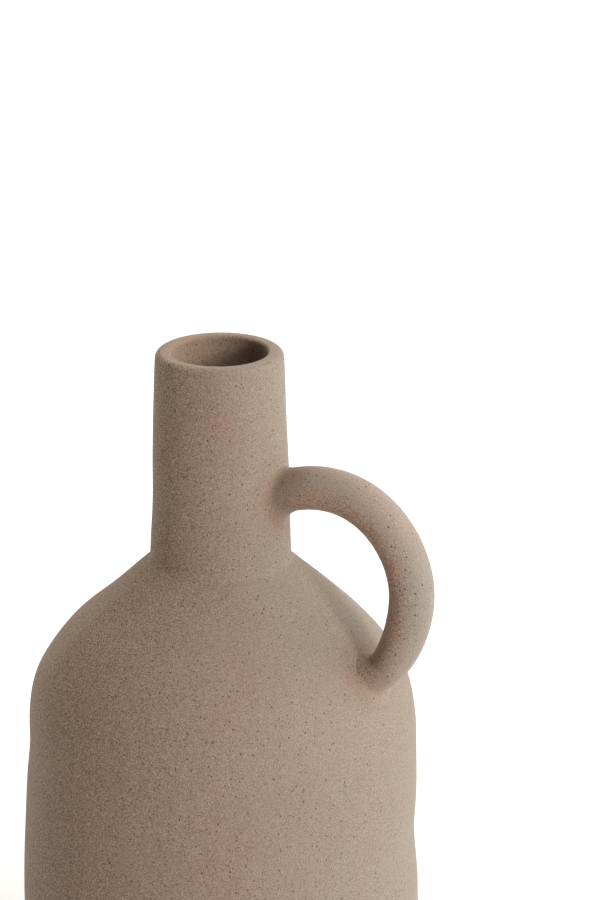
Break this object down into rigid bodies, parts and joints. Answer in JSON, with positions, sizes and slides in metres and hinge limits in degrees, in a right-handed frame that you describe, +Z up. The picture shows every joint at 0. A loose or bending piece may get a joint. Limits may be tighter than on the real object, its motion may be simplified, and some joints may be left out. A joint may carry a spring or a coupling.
{
  "type": "jug vase",
  "caption": "Matte sandy stoneware jug vase with a tall open neck, a rolled lip, a sloped shoulder, an upright wall and a round loop handle.",
  "frame": {"origin": "middle of the flat foot, on the axis of the neck", "axes": "+Z up through the mouth, +X towards the handle, +Y to the side"},
  "size_m": [0.1833, 0.1698, 0.3105],
  "materials": {
    "stoneware": "matte"
  },
  "bodies": {
    "root": {"floor_slab": "stoneware", "floor_seam_coil": "stoneware", "body_wall": "stoneware", "shoulder_seam_coil": "stoneware", "shoulder": "stoneware", "neck_seam_coil": "stoneware", "neck": "stoneware", "lip_coil": "stoneware", "handle": "stoneware", "handle_upper_lute": "stoneware", "handle_lower_lute": "stoneware"}
  },
  "joints": []
}
